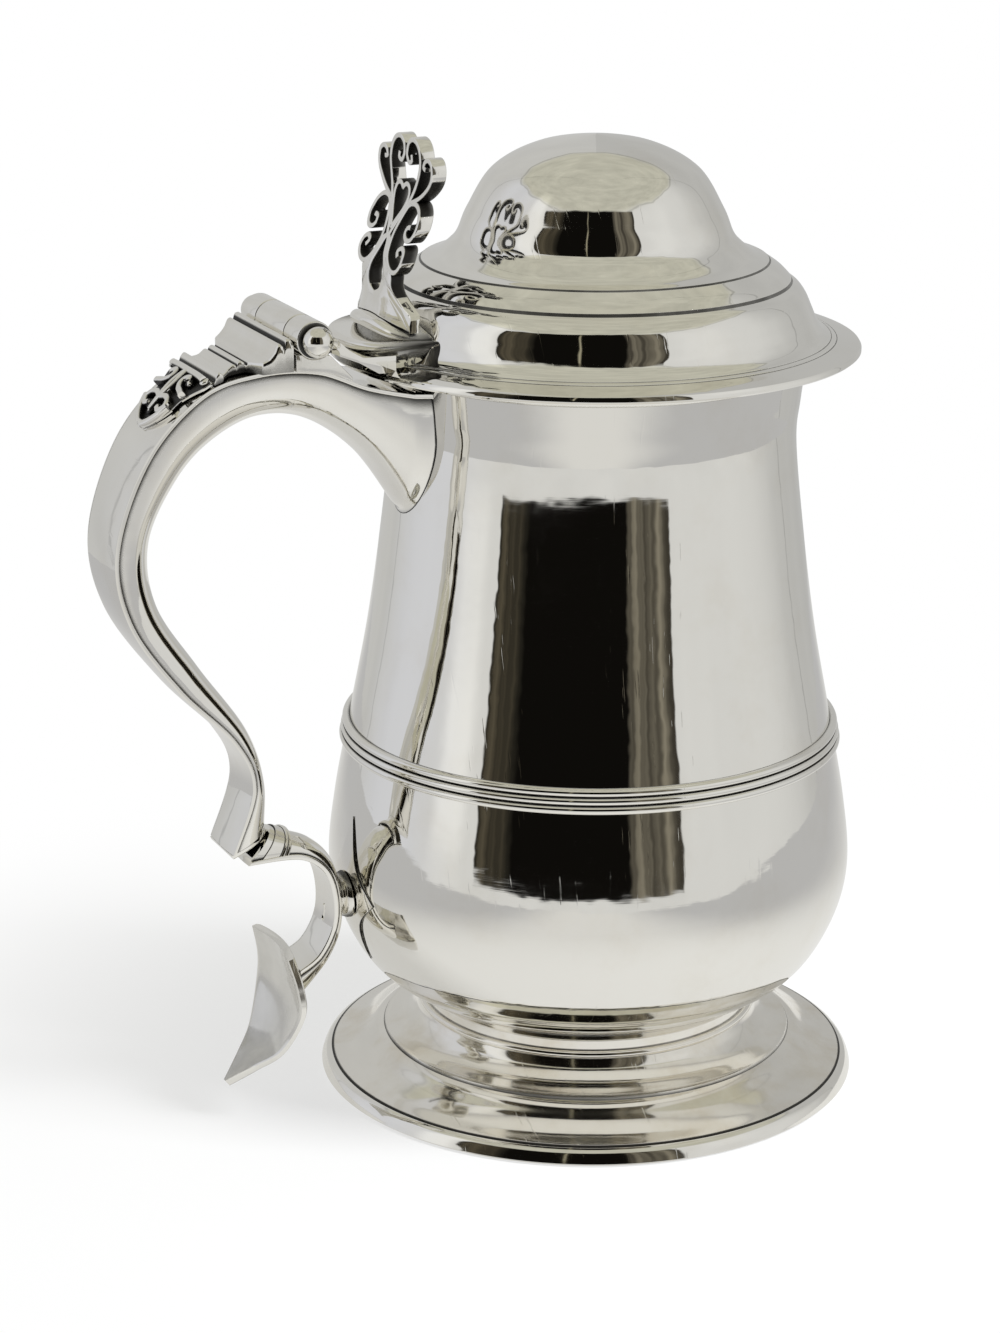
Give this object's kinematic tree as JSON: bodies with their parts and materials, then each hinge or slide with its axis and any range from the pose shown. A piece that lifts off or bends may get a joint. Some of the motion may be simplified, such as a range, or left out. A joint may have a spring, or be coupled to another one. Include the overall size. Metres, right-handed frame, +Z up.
{
  "type": "lidded tankard",
  "caption": "Silver lidded tankard: baluster body on a spreading foot, reeded girdle, double-scroll handle with shield end, hinged domed lid with an openwork scroll thumbpiece.",
  "frame": {"origin": "centre of the foot's rest plane, on the vessel's axis", "axes": "+Z up along the vessel's axis, the handle towards -X, the hinge pin along Y"},
  "size_m": [0.1662, 0.116, 0.2055],
  "materials": {
    "raised_silver": "hand-raised polished sterling silver, slightly warm, with soft waviness and fine wear",
    "wire_silver": "polished drawn silver wire with darkened grooves",
    "cast_silver": "polished cast silver with black patina in the recesses"
  },
  "bodies": {
    "vessel": {"body_shell": "raised_silver", "lip_wire": "wire_silver", "girdle_band": "wire_silver", "foot_neck": "raised_silver", "foot_dome": "raised_silver", "foot_wire": "wire_silver", "handle_back_strap": "raised_silver", "handle_upper_shell": "raised_silver", "handle_end_plate": "raised_silver", "handle_collar": "wire_silver", "lower_scroll_strap": "raised_silver", "lower_scroll_shell": "raised_silver", "shield_terminal": "cast_silver", "lower_socket": "cast_silver", "lower_mount": "cast_silver", "hinge_bracket": "cast_silver", "fixed_knuckles": "cast_silver", "hinge_pin": "cast_silver", "hinge_beads": "cast_silver", "hinge_drop": "cast_silver", "drop_pendant": "cast_silver"},
    "lid": {"lid_shell": "raised_silver", "lid_bezel": "raised_silver", "lid_leaf": "cast_silver", "lid_knuckle": "cast_silver", "thumb_plinth": "cast_silver", "thumbpiece": "cast_silver"}
  },
  "joints": [
    {"name": "lid_hinge", "type": "hinge", "parent": "vessel", "child": "lid", "pos_m": [-0.068, 0, 0.169], "axis": [0, -1, 0], "range_deg": [0, 105]}
  ]
}
